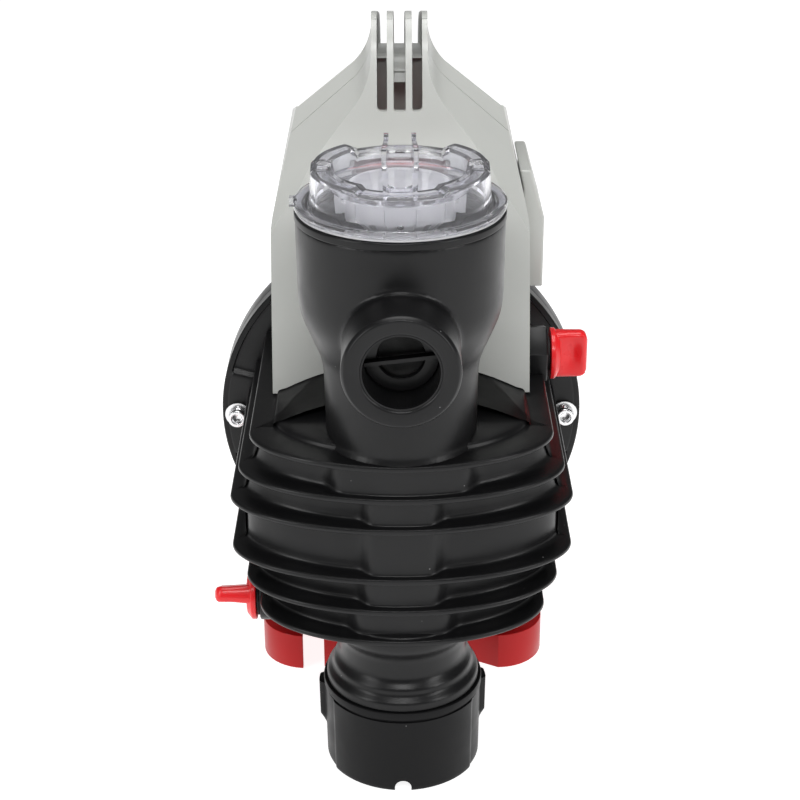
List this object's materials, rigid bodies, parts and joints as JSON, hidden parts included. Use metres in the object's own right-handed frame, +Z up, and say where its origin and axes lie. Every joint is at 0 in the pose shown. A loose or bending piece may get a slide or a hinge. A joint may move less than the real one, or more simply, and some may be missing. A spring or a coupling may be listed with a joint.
{
  "type": "pool pump",
  "caption": "Self-priming jet pump with black ribbed tank, clear filter lid, front suction port, red plugs and foot plate, and a light grey motor hood with carrying handle.",
  "frame": {"origin": "centre of the front foot cap's underside, on the filter column's axis", "axes": "+X right seen from the front, +Y from the suction port back to the motor, +Z up"},
  "size_m": [0.1972, 0.419, 0.357],
  "materials": {
    "black_plastic": "satin moulded black",
    "grey_plastic": "satin light grey",
    "red_plastic": "gloss red",
    "clear_plastic": "clear",
    "white_plastic": "satin white",
    "black_rubber": "matte",
    "zinc_steel": "zinc plated",
    "turned_steel": "turned",
    "cast_aluminium": "as cast",
    "laminated_steel": "laminated",
    "copper_winding": "varnished copper",
    "brass": "machined",
    "carbon_ceramic": "lapped"
  },
  "bodies": {
    "pump_body": {"pump_vessel": "black_plastic", "suction_valve_cage": "black_plastic", "vent_adapter": "black_plastic", "jet_insert": "black_plastic", "diffuser": "black_plastic", "motor_bracket": "black_plastic", "fan_cover": "black_plastic", "vessel_o_ring": "black_rubber", "cable_gland": "black_rubber", "foot_pad_front_left": "black_rubber", "foot_pad_front_right": "black_rubber", "foot_pad_rear_left": "black_rubber", "foot_pad_rear_right": "black_rubber", "run_capacitor": "white_plastic", "foot_plate": "red_plastic", "foot_plate_screw_left": "zinc_steel", "foot_plate_screw_right": "zinc_steel", "flange_screw_1": "zinc_steel", "flange_screw_2": "zinc_steel", "flange_screw_3": "zinc_steel", "flange_screw_4": "zinc_steel", "flange_screw_5": "zinc_steel", "flange_screw_6": "zinc_steel", "flange_washer_1": "zinc_steel", "flange_washer_2": "zinc_steel", "flange_washer_3": "zinc_steel", "flange_washer_4": "zinc_steel", "flange_washer_5": "zinc_steel", "flange_washer_6": "zinc_steel", "mechanical_seal_seat": "carbon_ceramic", "motor_housing": "cast_aluminium", "stator_core": "laminated_steel", "winding_front": "copper_winding", "winding_rear": "copper_winding", "bearing_front": "turned_steel", "bearing_rear": "turned_steel", "hood_front": "grey_plastic", "hood_rear": "grey_plastic", "switch_box": "grey_plastic"},
    "foot_cap_body": {"foot_cap": "black_plastic", "foot_cap_gasket": "black_rubber"},
    "lid_seal_body": {"lid_seal": "black_rubber"},
    "lid_body": {"filter_lid": "clear_plastic"},
    "strainer_body": {"strainer_basket": "white_plastic"},
    "valve_flap_body": {"suction_valve_flap": "black_rubber"},
    "discharge_seal_body": {"discharge_cap_seal": "black_rubber"},
    "discharge_cap_body": {"discharge_cap": "red_plastic"},
    "vent_seal_body": {"vent_plug_seal": "black_rubber"},
    "vent_plug_body": {"vent_plug": "red_plastic"},
    "drain_seal_body": {"drain_plug_seal": "black_rubber"},
    "drain_plug_body": {"drain_plug": "red_plastic"},
    "rotor_body": {"motor_shaft": "turned_steel", "rotor_core": "laminated_steel", "impeller": "brass", "impeller_nut": "zinc_steel", "mechanical_seal_rotor": "carbon_ceramic", "cooling_fan": "white_plastic"},
    "rocker_body": {"switch_rocker": "red_plastic"}
  },
  "joints": [
    {"name": "foot_cap_twist", "type": "hinge", "parent": "pump_body", "child": "foot_cap_body", "pos_m": [0, 0, 0.02], "axis": [0, 0, -1], "range_deg": [0, 360]},
    {"name": "lid_lift", "type": "slide", "parent": "pump_body", "child": "lid_seal_body", "axis": [0, 0, 1], "range_m": [0, 0.08]},
    {"name": "lid_twist", "type": "hinge", "parent": "lid_seal_body", "child": "lid_body", "pos_m": [0, 0, 0.3], "axis": [0, 0, 1], "range_deg": [0, 90]},
    {"name": "strainer_lift", "type": "slide", "parent": "pump_body", "child": "strainer_body", "axis": [0, 0, 1], "range_m": [0, 0.08]},
    {"name": "valve_flap_swing", "type": "hinge", "parent": "pump_body", "child": "valve_flap_body", "pos_m": [0, -0.0495, 0.2554], "axis": [1, 0, 0], "range_deg": [0, 45]},
    {"name": "discharge_cap_lift", "type": "slide", "parent": "pump_body", "child": "discharge_seal_body", "axis": [0, 0, 1], "range_m": [0, 0.013]},
    {"name": "discharge_cap_twist", "type": "hinge", "parent": "discharge_seal_body", "child": "discharge_cap_body", "pos_m": [0, 0.078, 0.27], "axis": [0, 0, 1], "range_deg": [0, 2160]},
    {"name": "vent_plug_out", "type": "slide", "parent": "pump_body", "child": "vent_seal_body", "axis": [1, 0, 0], "range_m": [0, 0.011]},
    {"name": "vent_plug_twist", "type": "hinge", "parent": "vent_seal_body", "child": "vent_plug_body", "pos_m": [0.08, 0.08, 0.187], "axis": [1, 0, 0], "range_deg": [0, 2160]},
    {"name": "drain_plug_out", "type": "slide", "parent": "pump_body", "child": "drain_seal_body", "axis": [-1, 0, 0], "range_m": [0, 0.011]},
    {"name": "drain_plug_twist", "type": "hinge", "parent": "drain_seal_body", "child": "drain_plug_body", "pos_m": [-0.08, 0.025, 0.077], "axis": [-1, 0, 0], "range_deg": [0, 2160]},
    {"name": "rotor_spin", "type": "hinge", "parent": "pump_body", "child": "rotor_body", "pos_m": [0, 0.2, 0.132], "axis": [0, 1, 0], "continuous": true},
    {"name": "rocker_tilt", "type": "hinge", "parent": "pump_body", "child": "rocker_body", "pos_m": [0.0735, 0.145, 0.228], "axis": [0, 0, 1], "range_deg": [-5, 5]}
  ],
  "couplings": [
    {"joint": "strainer_lift", "follows": "lid_lift", "ratio": 0.6},
    {"joint": "discharge_cap_lift", "follows": "discharge_cap_twist", "m_per_rad": 0.00032945},
    {"joint": "vent_plug_out", "follows": "vent_plug_twist", "m_per_rad": 0.00028648},
    {"joint": "drain_plug_out", "follows": "drain_plug_twist", "m_per_rad": 0.00028648}
  ]
}
